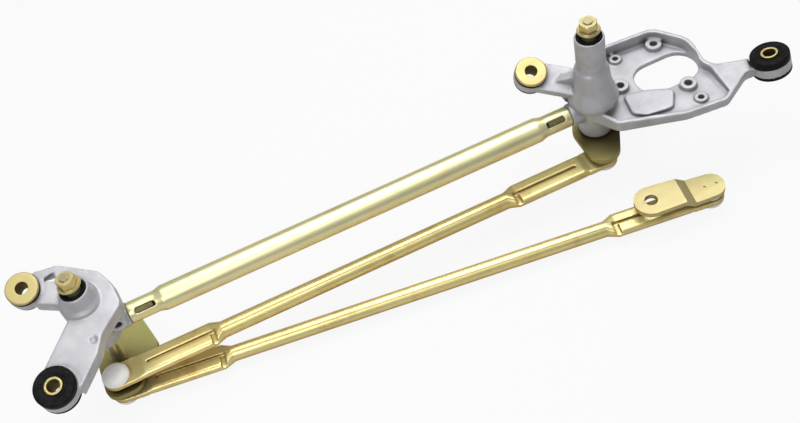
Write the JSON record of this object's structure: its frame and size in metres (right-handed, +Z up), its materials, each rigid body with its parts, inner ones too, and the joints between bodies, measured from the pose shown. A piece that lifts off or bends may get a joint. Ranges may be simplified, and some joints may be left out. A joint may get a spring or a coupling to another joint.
{
  "type": "wiper linkage",
  "caption": "Windscreen wiper linkage: two die-cast spindle brackets on a steel tube, coupled levers on a link rod, a drive rod and its motor crank.",
  "frame": {"origin": "the seat of the right wiper arm, on the axis of the right spindle", "axes": "+X along the frame tube from the left spindle to the right one, +Z up along both spindles towards the arm nuts, +Y away from the rods"},
  "size_m": [0.6871, 0.1561, 0.171],
  "materials": {
    "cast_aluminium": "as cast, satin",
    "yellow_zinc": "yellow passivated zinc plate",
    "bright_steel": "turned and ground",
    "nut_zinc": "yellow zinc plate, bright",
    "bearing_bronze": "sintered",
    "black_rubber": "moulded",
    "grey_nylon": "moulded"
  },
  "bodies": {
    "frame": {"left_bracket": "cast_aluminium", "right_bracket": "cast_aluminium", "frame_tube": "yellow_zinc", "left_upper_bush": "bearing_bronze", "left_lower_bush": "bearing_bronze", "right_upper_bush": "bearing_bronze", "right_lower_bush": "bearing_bronze", "left_dust_seal": "black_rubber", "right_dust_seal": "black_rubber", "left_upper_grommet": "black_rubber", "left_lower_grommet": "black_rubber", "right_upper_grommet": "black_rubber", "right_end_grommet": "black_rubber", "left_upper_sleeve": "nut_zinc", "left_lower_sleeve": "nut_zinc", "right_upper_sleeve": "nut_zinc", "right_end_sleeve": "nut_zinc"},
    "left_rocker": {"left_spindle": "bright_steel", "left_lever": "yellow_zinc", "left_arm_nut": "nut_zinc", "left_thrust_washer": "bright_steel", "left_retaining_ring": "bright_steel", "left_ball_stud": "bright_steel"},
    "right_rocker": {"right_spindle": "bright_steel", "right_lever": "yellow_zinc", "right_arm_nut": "nut_zinc", "right_thrust_washer": "bright_steel", "right_retaining_ring": "bright_steel", "right_ball_stud": "bright_steel"},
    "link_rod": {"link_rod": "yellow_zinc", "link_left_socket": "grey_nylon", "link_right_socket": "grey_nylon", "link_left_seal": "black_rubber", "link_right_seal": "black_rubber"},
    "drive_rod": {"drive_rod": "yellow_zinc", "drive_left_socket": "grey_nylon", "drive_right_socket": "grey_nylon", "drive_left_seal": "black_rubber", "drive_right_seal": "black_rubber"},
    "motor_crank": {"motor_crank": "yellow_zinc", "crank_ball_stud": "bright_steel"}
  },
  "joints": [
    {"name": "left_pivot", "type": "hinge", "parent": "frame", "child": "left_rocker", "pos_m": [-0.464, 0, -0.089], "axis": [0, 0, 1], "range_deg": [-20, 65]},
    {"name": "right_pivot", "type": "hinge", "parent": "frame", "child": "right_rocker", "pos_m": [0, 0, -0.089], "axis": [0, 0, 1], "range_deg": [-20, 65]},
    {"name": "link_left_ball", "type": "hinge", "parent": "left_rocker", "child": "link_rod", "pos_m": [-0.47005, -0.02426, -0.131], "axis": [0, 0, 1], "range_deg": [-65, 20]},
    {"name": "drive_left_ball", "type": "hinge", "parent": "left_rocker", "child": "drive_rod", "pos_m": [-0.47005, -0.02426, -0.151], "axis": [0, 0, 1], "range_deg": [-65, 20]},
    {"name": "crank_ball", "type": "hinge", "parent": "drive_rod", "child": "motor_crank", "pos_m": [0.058, -0.095, -0.151], "axis": [0, 0, 1], "continuous": true}
  ],
  "couplings": [
    {"joint": "right_pivot", "follows": "left_pivot", "ratio": 1},
    {"joint": "link_left_ball", "follows": "left_pivot", "ratio": -1},
    {"joint": "drive_left_ball", "follows": "left_pivot", "ratio": -1}
  ]
}
